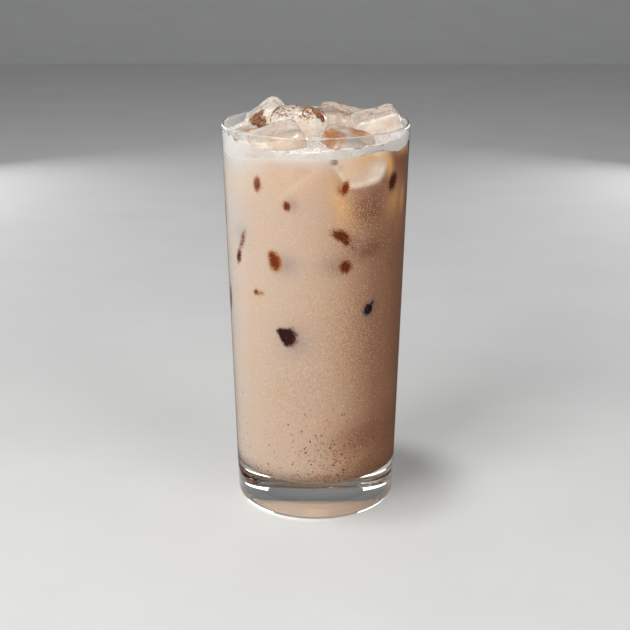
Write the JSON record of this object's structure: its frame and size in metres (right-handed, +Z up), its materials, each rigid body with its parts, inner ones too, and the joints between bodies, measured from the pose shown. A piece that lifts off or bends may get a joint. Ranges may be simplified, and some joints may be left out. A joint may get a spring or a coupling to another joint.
{
  "type": "iced chai latte in a tall glass",
  "caption": "Iced spiced milk tea in a tall tapered glass, with ice cubes standing out of the milk foam; rests on its flat foot ring.",
  "frame": {"origin": "on the axis of the glass, level with the flat foot ring it stands on", "axes": "+Z up the glass, -Y towards the front that the picture shows, +X to the right of the picture"},
  "size_m": [0.0752, 0.0752, 0.167],
  "materials": {
    "glass": "clear polished glass",
    "milk_tea": "opaque beige liquid",
    "milk_foam": "fine matte white bubbles",
    "ice": "wet clear ice with cloudy flaws",
    "spice": "fine dry brown powder"
  },
  "bodies": {
    "root": {"glass_tumbler": "glass", "milk_tea": "milk_tea", "milk_foam": "milk_foam", "ice_back_left": "ice", "ice_middle_left": "ice", "ice_front_left": "ice", "ice_back_right": "ice", "ice_right": "ice", "ice_front_right": "ice", "ice_far_left": "ice"}
  },
  "joints": []
}
